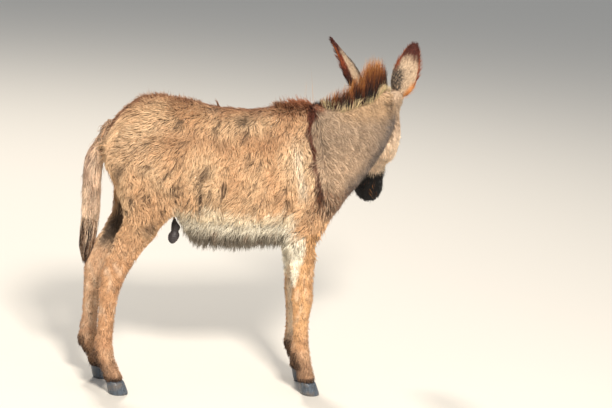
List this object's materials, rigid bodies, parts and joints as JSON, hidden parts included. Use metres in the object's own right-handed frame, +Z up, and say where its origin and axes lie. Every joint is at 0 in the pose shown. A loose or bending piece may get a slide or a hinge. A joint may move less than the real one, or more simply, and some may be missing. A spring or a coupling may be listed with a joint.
{
  "type": "donkey",
  "caption": "Young shaggy donkey standing still, head turned to its left and hanging low, ears up, with a woolly coat, dark mane and dark tail tip.",
  "frame": {"origin": "middle of the box round the whole donkey, on the ground under it", "axes": "+X forward along the body, +Y to the donkey's left, +Z up"},
  "size_m": [1.1484, 0.5722, 1.1452],
  "materials": {
    "body_coat": "long woolly ginger-tan hair",
    "head_coat": "short smooth grey-beige hair",
    "leg_coat": "short orange-tan hair",
    "dark_hair": "coarse dark brown hair",
    "hoof_horn": "worn blue-grey horn",
    "eye": "wet and dark brown",
    "bare_skin": "soft dark grey skin"
  },
  "bodies": {
    "root": {"ear_left": "head_coat", "ear_right": "head_coat", "eye_left": "eye", "eye_right": "eye", "fore_cannon_left": "leg_coat", "fore_cannon_right": "leg_coat", "fore_hoof_left": "hoof_horn", "fore_hoof_right": "hoof_horn", "fore_pastern_left": "leg_coat", "fore_pastern_right": "leg_coat", "forearm_left": "leg_coat", "forearm_right": "leg_coat", "forelock": "dark_hair", "gaskin_left": "leg_coat", "gaskin_right": "leg_coat", "head": "head_coat", "hind_cannon_left": "leg_coat", "hind_cannon_right": "leg_coat", "hind_hoof_left": "hoof_horn", "hind_hoof_right": "hoof_horn", "hind_pastern_left": "leg_coat", "hind_pastern_right": "leg_coat", "mane": "dark_hair", "neck": "head_coat", "sheath": "bare_skin", "tail": "body_coat", "tail_switch": "dark_hair", "thigh_left": "body_coat", "thigh_right": "body_coat", "trunk": "body_coat", "upper_arm_left": "body_coat", "upper_arm_right": "body_coat"}
  },
  "joints": []
}
